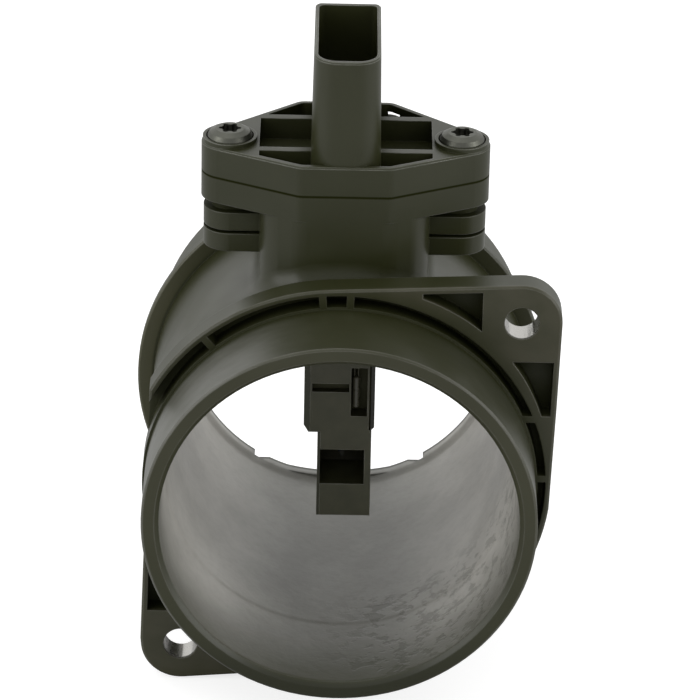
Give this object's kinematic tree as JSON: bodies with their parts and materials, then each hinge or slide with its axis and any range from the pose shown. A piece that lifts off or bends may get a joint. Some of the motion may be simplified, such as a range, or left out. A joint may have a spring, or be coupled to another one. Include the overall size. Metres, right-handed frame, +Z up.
{
  "type": "mass airflow sensor",
  "caption": "Moulded air duct with two hose spigots, a diagonal bolt flange and a plug-in airflow sensor whose probe hangs in the bore.",
  "frame": {"origin": "on the duct's axis, in the plane of the flange's mating face", "axes": "+Y along the duct in the way the air flows, +Z up to the electrical plug, +X across the duct"},
  "size_m": [0.0877, 0.0875, 0.1343],
  "materials": {
    "housing": "satin, fine moulded grain",
    "sensor_case": "satin, fine moulded grain",
    "probe_cover": "satin",
    "bush": "turned, bright",
    "screw": "blackened steel",
    "seal": "matte",
    "carrier": "satin",
    "board": "smooth",
    "chip": "smooth",
    "capacitor": "smooth",
    "tongue": "smooth",
    "die": "polished",
    "bead": "smooth",
    "lead": "bright",
    "terminal": "tin plated"
  },
  "bodies": {
    "root": {"duct_housing": "housing", "flange_bush_upper": "bush", "flange_bush_lower": "bush", "sensor_body": "sensor_case", "electronics_cover": "probe_cover", "bypass_cover": "probe_cover", "base_plate": "carrier", "circuit_board": "board", "signal_chip": "chip", "capacitor_1": "capacitor", "capacitor_2": "capacitor", "sensor_tongue": "tongue", "sensing_die": "die", "thermistor_bead": "bead", "thermistor_lead_1": "lead", "thermistor_lead_2": "lead", "o_ring": "seal", "screw_left": "screw", "screw_right": "screw", "terminal_1": "terminal", "terminal_2": "terminal", "terminal_3": "terminal", "terminal_4": "terminal", "terminal_5": "terminal"}
  },
  "joints": []
}
